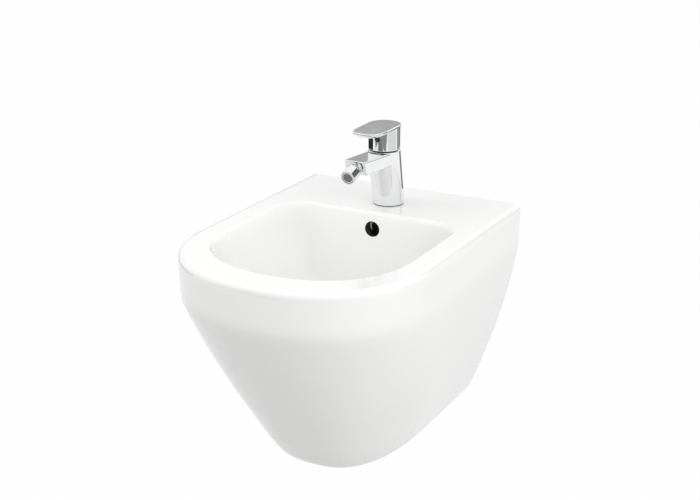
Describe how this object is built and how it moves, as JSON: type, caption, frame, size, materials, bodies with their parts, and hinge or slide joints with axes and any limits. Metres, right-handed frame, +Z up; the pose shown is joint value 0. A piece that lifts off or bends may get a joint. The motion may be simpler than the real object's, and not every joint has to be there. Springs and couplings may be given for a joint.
{
  "type": "wall-hung bidet",
  "caption": "White glazed wall-hung bidet with an oval bowl, overflow, push-open waste and a chrome single-lever mixer with a swivelling nozzle.",
  "frame": {"origin": "on the wall plane, midway between the two fixing studs", "axes": "+Z up, +Y into the wall, the front of the bowl towards -Y, +X to the right seen from the front"},
  "size_m": [0.3604, 0.488, 0.4638],
  "materials": {
    "glaze": "gloss white glaze",
    "chrome": "polished",
    "brass": "turned",
    "steel": "zinc plated",
    "rubber": "matt black",
    "black_plastic": "satin",
    "grey_plastic": "satin",
    "white_plastic": "satin",
    "disc_ceramic": "lapped"
  },
  "bodies": {
    "fixture": {"ceramic_body": "glaze", "wall_sleeves": "white_plastic", "wall_washers": "steel", "wall_nuts": "steel", "mixer_body": "chrome", "inlet_block": "brass", "base_seal": "rubber", "clamp_gasket": "rubber", "clamp_plate": "steel", "clamp_nut": "brass", "mounting_stud": "steel", "port_seals": "rubber", "cartridge_base": "grey_plastic", "fixed_disc": "disc_ceramic", "cartridge_housing": "grey_plastic", "cartridge_nut": "brass", "slip_ring": "black_plastic", "ball_nipple": "chrome", "nipple_seal": "rubber", "waste_body": "chrome", "waste_top_seal": "rubber", "waste_bottom_seal": "rubber", "waste_nut": "brass", "click_housing": "brass", "plug_spring": "steel"},
    "turret": {"turret": "white_plastic", "pivot_pin": "steel"},
    "lever": {"lever_handle": "chrome", "handle_screw": "steel", "index_plug": "black_plastic", "lever_stem": "brass"},
    "disc": {"moving_disc": "disc_ceramic", "disc_carrier": "grey_plastic"},
    "liner": {"ball_liner": "white_plastic"},
    "nozzle": {"nozzle_sleeve": "chrome", "nozzle_seal": "rubber", "aerator": "grey_plastic"},
    "plug": {"plug_cap": "chrome", "plug_seal": "rubber", "plug_stem": "steel"}
  },
  "joints": [
    {"name": "lever_turn", "type": "hinge", "parent": "fixture", "child": "turret", "pos_m": [0, -0.101, 0.171], "axis": [0, 0, 1], "range_deg": [-45, 45]},
    {"name": "lever_lift", "type": "hinge", "parent": "turret", "child": "lever", "pos_m": [0, -0.101, 0.171], "axis": [-1, 0, 0], "range_deg": [0, 20]},
    {"name": "disc_slide", "type": "slide", "parent": "turret", "child": "disc", "axis": [0, -1, 0], "range_m": [0, 0.0038]},
    {"name": "nozzle_yaw", "type": "hinge", "parent": "fixture", "child": "liner", "pos_m": [0, -0.20233, 0.16577], "axis": [0, -0.284, 0.9588], "range_deg": [-15, 15]},
    {"name": "nozzle_pitch", "type": "hinge", "parent": "liner", "child": "nozzle", "pos_m": [0, -0.20233, 0.16577], "axis": [1, 0, 0], "range_deg": [-15, 15]},
    {"name": "plug_lift", "type": "slide", "parent": "fixture", "child": "plug", "axis": [0, 0, 1], "range_m": [0, 0.01], "deforming": ["plug_spring"]}
  ],
  "couplings": [
    {"joint": "disc_slide", "follows": "lever_lift", "m_per_rad": 0.0108}
  ]
}
